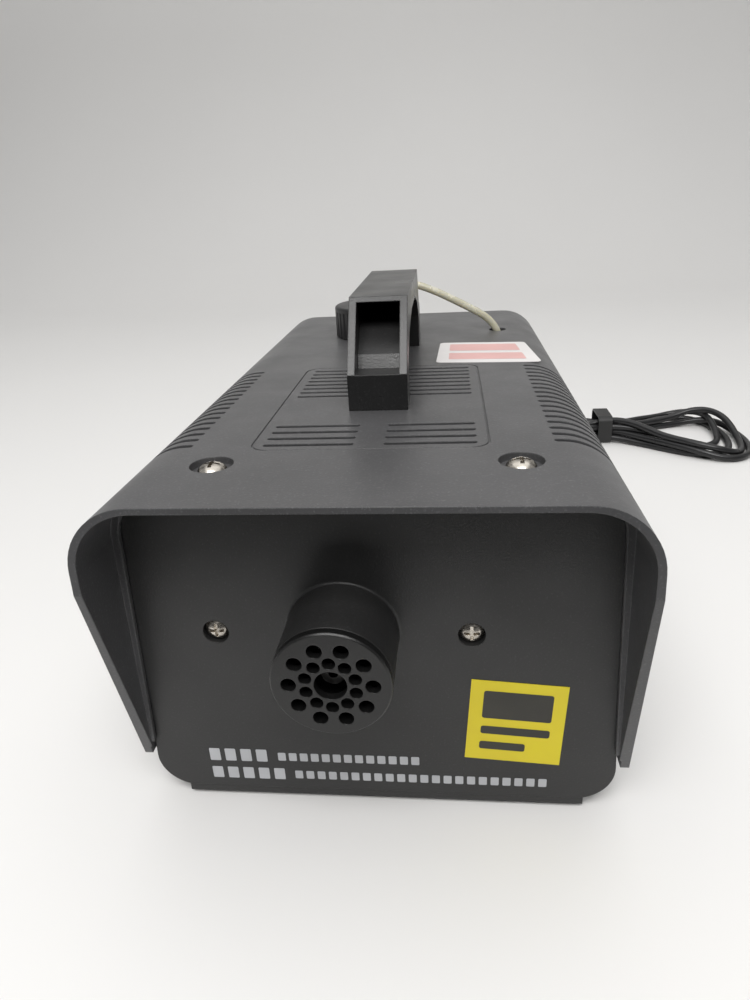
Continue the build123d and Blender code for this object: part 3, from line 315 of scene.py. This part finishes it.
def spline(name, points, diameter, material):
    """A round cord along one open NURBS spline."""
    curve = bpy.data.curves.new(name, "CURVE")
    curve.dimensions = "3D"
    line = curve.splines.new("NURBS")
    line.points.add(len(points) - 1)
    for point, place in zip(line.points, points):
        point.co = (*place, 1.0)
    line.order_u = 3
    line.use_endpoint_u = True
    line.resolution_u = 4
    curve.bevel_depth = diameter / 2
    curve.bevel_resolution = 6
    curve.use_fill_caps = True
    curve.materials.append(material)
    cord = bpy.data.objects.new(name, curve)
    bpy.context.scene.collection.objects.link(cord)
    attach(cord, "housing")
    return cord


LEAD_D = 4.2 * MM
LEAD_REST = LEAD_D / 2  # height of a strand's centre where it lies on the table
WAIST = (125.5 * MM, 219 * MM)
WAIST_REACH = 20 * MM  # strands within this of the waist, across, pass through the tie
TIE_THICK = 1.2 * MM
TIE_WIDTH = 9 * MM
TIE_GAP = 0.3 * MM  # between the tie and the strands in it
TIE_CORNER = 2.8 * MM

# from inside the rear panel, through the relief, down to the table and under the hank's near side
LEAD_IN = [
    (45, 96, 22), (45, 113, 22.3), (45.4, 131, 21), (46.4, 148, 14.6), (48.6, 164, 6.4), (54, 178, 2.1),
    (62, 190.5, 2.1), (75, 202, 2.1), (92, 209.5, 2.1), (108, 212, 2.1),
]
# from the waist's far side out over the left lobe's end to the plug
TAIL_OUT = [
    (108, 226, 2.1), (90, 225, 2.1), (72, 219, 2.1), (57, 212, 2.1), (44, 205, 2.1), (29, 199, 2.1),
    (12, 194.5, 2.3), (-6, 192, 6.2), (-24, 192.4, 10.4), (-40, 193, 11),
]

# each pass round the right lobe: reach, near width, far width, skew, slot in the waist. All but the skew in mm
RIGHT = [
    (80, 43, 38, 0.00, 6.5),
    (90, 44, 30, -0.10, 2.2),
    (76, 30, 42, 0.03, 6.5),
    (86, 42, 28, -0.08, 2.2),
]
# each pass round the left lobe: reach, far width, near width, skew, slots in the waist it leaves and returns by
LEFT = [
    (74, 34, 36, 0.00, 6.5, 2.2),
    (80, 39, 38, -0.02, 2.2, 6.5),
    (85, 34, 30, 0.03, 6.5, 2.2),
]
LOBE_STEPS = 48
LOBE_PEAK = 0.65  # the widest value of the lobe's outline before it is scaled
PARALLEL_SHARE = 0.35  # share of a lobe's reach over which a strand leaves its slot


def lobe(side, reach, first_width, second_width, first_sign, skew, slots):
    """Plan of one pass round a lobe, from the waist's one side back to its other side."""
    places = []
    for i in range(1, LOBE_STEPS):
        turn = 2 * math.pi * i / LOBE_STEPS
        second = turn > math.pi
        along = reach * (1 - math.cos(turn)) / 2
        width = second_width if second else first_width
        across = abs(math.sin(turn)) * math.sin(turn / 2) ** 2 / LOBE_PEAK * width
        sign = -first_sign if second else first_sign
        slot = slots[1] if second else slots[0]
        parallel = max(0.0, 1 - along / (PARALLEL_SHARE * reach))
        aside = sign * across + slot * parallel + skew * along
        places.append((WAIST[0] + side * along * MM, WAIST[1] + aside * MM))
    return places


def lead_plan():
    """The whole lead's plan and its free heights: lead, four turns of the hank, tail."""
    plan = [(x * MM, y * MM, z * MM) for x, y, z in LEAD_IN]
    for turn, (reach, near, far, skew, slot) in enumerate(RIGHT):
        pass_right = lobe(1, reach, near, far, -1, skew, (-slot, slot))
        plan += [(x, y, LEAD_REST) for x, y in pass_right]
        if turn < len(LEFT):
            reach, far, near, skew, slot_out, slot_in = LEFT[turn]
            pass_left = lobe(-1, reach, far, near, 1, skew, (slot_out, -slot_in))
            plan += [(x, y, LEAD_REST) for x, y in pass_left]
    return plan + [(x * MM, y * MM, z * MM) for x, y, z in TAIL_OUT]


def resampled(points, step):
    """Points step apart along the polyline through points."""
    out = [Vector(points[0])]
    left = step
    for a, b in zip(points, points[1:]):
        a, b = Vector(a), Vector(b)
        span = (b - a).length
        at = left
        while at <= span:
            out.append(a.lerp(b, at / span))
            at += step
        left = at - span
    out.append(Vector(points[-1]))
    return out


def smoothed(points, times):
    """Neighbours averaged, ends kept."""
    for _ in range(times):
        inner = [(a + b * 2 + c) / 4 for a, b, c in zip(points, points[1:], points[2:])]
        points = [points[0], *inner, points[-1]]
    return points


STEP = 4 * MM  # between points along the lead
AHEAD = 7  # points over which a strand drops from what holds it up
SAG = 13.0  # how fast a strand drops away from what holds it, per metre
OWN = 9  # neighbours along the cord that don't count as another strand
STACK = LEAD_D * 1.02
SETTLE = 4  # rounds of smoothing once the strands are laid


def laid(points):
    """Each strand rests on the table or on the strands laid before it."""
    support = []
    for i, p in enumerate(points):
        height = p.z
        if abs(p.x - WAIST[0]) < TIE_WIDTH and abs(p.y - WAIST[1]) < WAIST_REACH:
            height = max(height, LEAD_REST + TIE_THICK + TIE_GAP)
        support.append(height)
    out = [p.copy() for p in points]
    for i in range(len(points)):
        for k in ([i + AHEAD] if i else range(AHEAD + 1)):
            if k < len(points):
                for j in range(0, k - OWN - AHEAD):
                    gap = math.hypot(points[k].x - out[j].x, points[k].y - out[j].y)
                    if gap < STACK:
                        support[k] = max(support[k], out[j].z + math.sqrt(STACK**2 - gap**2))
        around = range(max(0, i - AHEAD), min(len(points), i + AHEAD + 1))
        out[i].z = max(support[k] - SAG * (abs(k - i) * STEP) ** 2 for k in around)
    return out


def lead_points():
    plan = smoothed(resampled(lead_plan(), STEP), 5)
    return smoothed(laid(plan), SETTLE)[::2]


lead_line = lead_points()
lead_run = sum((b - a).length for a, b in zip(lead_line, lead_line[1:]))
print(f"mains lead: {lead_run * 1000:.0f} mm in {len(lead_line)} points")
power_lead = spline("power_lead", [tuple(p) for p in lead_line], LEAD_D, lead_rubber)
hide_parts("power_cord", "power_cord_tail", "power_cord_hank")


def mesh_object(name, vertices, faces, material):
    """A flat-shaded mesh that rides on the housing."""
    mesh = bpy.data.meshes.new(name)
    mesh.from_pydata(vertices, [], faces)
    mesh.materials.append(material)
    mesh.update()
    for polygon in mesh.polygons:
        polygon.use_smooth = False
    made = bpy.data.objects.new(name, mesh)
    bpy.context.scene.collection.objects.link(made)
    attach(made, "housing")
    return made


def rounded_outline(half_wide, half_high, radius, steps=8):
    """A rounded rectangle about the origin, anticlockwise."""
    places = []
    for corner, (sx, sy) in enumerate(((1, 1), (-1, 1), (-1, -1), (1, -1))):
        for i in range(steps + 1):
            angle = math.radians(90 * corner + 90 * i / steps)
            places.append(
                (
                    sx * (half_wide - radius) + radius * math.cos(angle),
                    sy * (half_high - radius) + radius * math.sin(angle),
                )
            )
    return places


def hank_tie():
    """A flat strap once round the waist of the hank, as wide and as high as the strands there."""
    there = [
        p for p in lead_line
        if abs(p.x - WAIST[0]) < 0.8 * TIE_WIDTH and abs(p.y - WAIST[1]) < WAIST_REACH
    ]
    near, far = min(p.y for p in there), max(p.y for p in there)
    room = LEAD_D / 2 + TIE_GAP
    half_wide = (far - near) / 2 + room
    half_high = (max(p.z for p in there) + room - TIE_THICK) / 2
    centre_y, centre_z = (near + far) / 2, TIE_THICK + half_high
    inner = rounded_outline(half_wide, half_high, TIE_CORNER)
    outer = rounded_outline(half_wide + TIE_THICK, half_high + TIE_THICK, TIE_CORNER + TIE_THICK)
    rings = []
    for outline, x in ((inner, -1), (outer, -1), (outer, 1), (inner, 1)):
        rings.append([(WAIST[0] + x * TIE_WIDTH / 2, centre_y + y, centre_z + z) for y, z in outline])
    count = len(inner)
    vertices = [v for ring in rings for v in ring]
    faces = []
    for r in range(4):
        for i in range(count):
            j, s = (i + 1) % count, (r + 1) % 4
            faces.append((r * count + i, r * count + j, s * count + j, s * count + i))
    return mesh_object("hank_strap", vertices, faces, tie_plastic)


strap = hank_tie()
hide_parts("cord_tie")

TUBE_D = 3.2 * MM
TUBE_LINE = [
    (-13.6, 96.5), (-13.3, 103.5), (-12.9, 110.6), (-11.8, 117.4), (-8.3, 122.6), (-2.6, 125.2), (4.4, 124.8),
    (12.0, 122.4), (20.5, 118.4), (29.3, 113.8), (38.2, 109.0), (43.2, 102.6), (44.5, 95.0), (44.8, 88.0),
]


def tube_point(x, z):
    """The tube runs in a near-upright plane from the tank cap to the hole in the cover."""
    return (x * MM, (69.8 + 0.8 * (x + 13.6) / 58.4) * MM, (z + 2) * MM)


tube = spline("feed_tube", [tube_point(x, z) for x, z in TUBE_LINE], TUBE_D, clear_tube)
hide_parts("fluid_tube")


# ---------------------------------------------------------------- printed marks

def flat_patch(name, corners, radius, lift, normal, material, steps=5):
    """A thin rounded patch on a flat face: corners in order, lifted off the face by lift."""
    corners = [Vector(c) * MM for c in corners]
    normal = Vector(normal)
    outline = []
    for before, corner, after in zip(corners[-1:] + corners[:-1], corners, corners[1:] + corners[:1]):
        to_before, to_after = (before - corner).normalized(), (after - corner).normalized()
        for i in range(steps + 1):
            t = i / steps
            outline.append(
                corner + to_before * radius * MM * (1 - t) ** 2 + to_after * radius * MM * t**2
            )
    return mesh_object(name, [p + normal * lift for p in outline], [tuple(range(len(outline)))], material)


def part_of(corners, u0, u1, v0, v1):
    """Corners of the part of a four-cornered face from u0 to u1 along it and v0 to v1 across it."""
    a, b, c, d = (Vector(corner) for corner in corners)
    return [tuple(a.lerp(b, u).lerp(d.lerp(c, u), v)) for u, v in ((u0, v0), (u1, v0), (u1, v1), (u0, v1))]


MARK_LIFT = 0.05 * MM
DASH_PITCH = 1.45  # of the dashes' own length
FRONT_LABEL = [(x, -99.70, z) for x, z in ((26.3, 45.5), (51.9, 43.5), (50.6, 16.4), (24.5, 18.3))]
TOP_LABEL = [(x, y, 105.35) for x, y in ((17.6, 43.9), (51.8, 40.7), (54.7, 5.3), (16.2, 8.5))]

# plain blocks only: name, face, its outward direction, share along and across, material
MARKS = [
    ("label_block_1", FRONT_LABEL, (0, -1, 0), (0.14, 0.86, 0.12, 0.46), black_print),
    ("label_block_2", FRONT_LABEL, (0, -1, 0), (0.14, 0.86, 0.56, 0.66), black_print),
    ("label_block_3", FRONT_LABEL, (0, -1, 0), (0.14, 0.62, 0.76, 0.86), black_print),
    ("label_block_4", TOP_LABEL, (0, 0, 1), (0.12, 0.88, 0.10, 0.44), pink_print),
    ("label_block_5", TOP_LABEL, (0, 0, 1), (0.12, 0.88, 0.56, 0.86), pink_print),
]
# two lines of even dashes in place of print on the front panel: x0, x1, z0, z1, dash length
LINES = [
    (-50, -31.3, 14, 18.6, 3.2), (-29.5, 12.6, 14.6, 17.6, 2.3),
    (-50, -26.6, 7.3, 11.6, 3.2), (-25, 48.6, 7.9, 10.9, 2.3),
]


def printed_marks():
    for name, face, outward, share, material in MARKS:
        flat_patch(name, part_of(face, *share), 0.8, MARK_LIFT, outward, material)
    for row, (x0, x1, z0, z1, dash) in enumerate(LINES):
        count = round((x1 - x0) / (dash * DASH_PITCH))
        pitch = (x1 - x0) / count
        for i in range(count):
            a, b = x0 + pitch * i, x0 + pitch * i + dash
            corners = [(a, -99.55, z1), (b, -99.55, z1), (b, -99.55, z0), (a, -99.55, z0)]
            flat_patch(f"print_dash_{row + 1}_{i + 1}", corners, 0.4, MARK_LIFT, (0, -1, 0), pale_print)


printed_marks()


# ---------------------------------------------------------------- stage, light and camera

def stage_material(name, colour, rough):
    shader = Shader(name)
    clouds = shader.noise(0.6, detail=3)
    shader.colour(shader.mixed(shader.ramp(clouds, 0.3, 0.7), colour, tuple(0.97 * c for c in colour)))
    shader.roughness(shader.ramp(clouds, 0.3, 0.7, rough, rough + 0.05))
    return shader.done()


def build_stage():
    """A pale table that sweeps up into a wall behind the machine, and ends a little way in front of it."""
    wall, sweep, half, front = 1.3, 0.45, 3.0, -0.26
    profile = [(front, 0.0), (wall - sweep, 0.0)]
    for i in range(1, 13):
        angle = math.radians(90 * i / 12)
        profile.append((wall - sweep + sweep * math.sin(angle), sweep - sweep * math.cos(angle)))
    profile.append((wall, 3.0))
    vertices = [(x, y, z) for y, z in profile for x in (-half, half)]
    faces = [(2 * i, 2 * i + 1, 2 * i + 3, 2 * i + 2) for i in range(len(profile) - 1)]
    mesh = bpy.data.meshes.new("backdrop")
    mesh.from_pydata(vertices, [], faces)
    mesh.materials.append(stage_material("backdrop_paper", (0.80, 0.795, 0.785), 0.6))
    for polygon in mesh.polygons:
        polygon.use_smooth = True
    backdrop = bpy.data.objects.new("backdrop", mesh)
    bpy.context.scene.collection.objects.link(backdrop)


def area_light(name, place, aim, size, power, colour=(1, 1, 1)):
    light = bpy.data.lights.new(name, "AREA")
    light.shape = "RECTANGLE"
    light.size, light.size_y = size
    light.energy = power
    light.color = colour
    lamp = bpy.data.objects.new(name, light)
    lamp.location = place
    lamp.rotation_euler = (Vector(aim) - Vector(place)).to_track_quat("-Z", "Y").to_euler()
    bpy.context.scene.collection.objects.link(lamp)


def build_light():
    """A room dark in front and lighter behind, one broad light overhead and one above the front."""
    world = bpy.data.worlds.new("studio")
    world.use_nodes = True
    tree = world.node_tree
    background = tree.nodes["Background"]
    split = tree.nodes.new("ShaderNodeSeparateXYZ")
    tree.links.new(tree.nodes.new("ShaderNodeTexCoord").outputs["Generated"], split.inputs["Vector"])
    fade = tree.nodes.new("ShaderNodeMapRange")
    fade.inputs["From Min"].default_value = -0.9
    fade.inputs["From Max"].default_value = 0.6
    fade.inputs["To Min"].default_value = 0.05
    fade.inputs["To Max"].default_value = 0.62
    tree.links.new(split.outputs["Y"], fade.inputs["Value"])
    tree.links.new(fade.outputs["Result"], background.inputs["Strength"])
    background.inputs["Color"].default_value = (1.0, 1.0, 1.0, 1.0)
    bpy.context.scene.world = world
    area_light("overhead", (0.0, 0.25, 1.8), (0.0, 0.1, 0.0), (2.6, 2.2), 17, (1.0, 0.995, 0.985))
    area_light("front_above", (0.0, -0.7, 1.0), (0.0, 0.0, 0.05), (0.9, 0.5), 12.0, (1.0, 0.99, 0.98))


def build_camera():
    camera = bpy.data.cameras.new("camera")
    camera.sensor_width = 36
    camera.lens = 24.87
    camera.clip_start = 0.01
    made = bpy.data.objects.new("camera", camera)
    made.location = (0.02086, -0.24871, 0.16531)
    made.rotation_euler = tuple(math.radians(a) for a in (65.817, 2.956, 5.429))
    bpy.context.scene.collection.objects.link(made)
    bpy.context.scene.camera = made


build_stage()
build_light()
build_camera()
bpy.context.scene.view_settings.view_transform = "Standard"
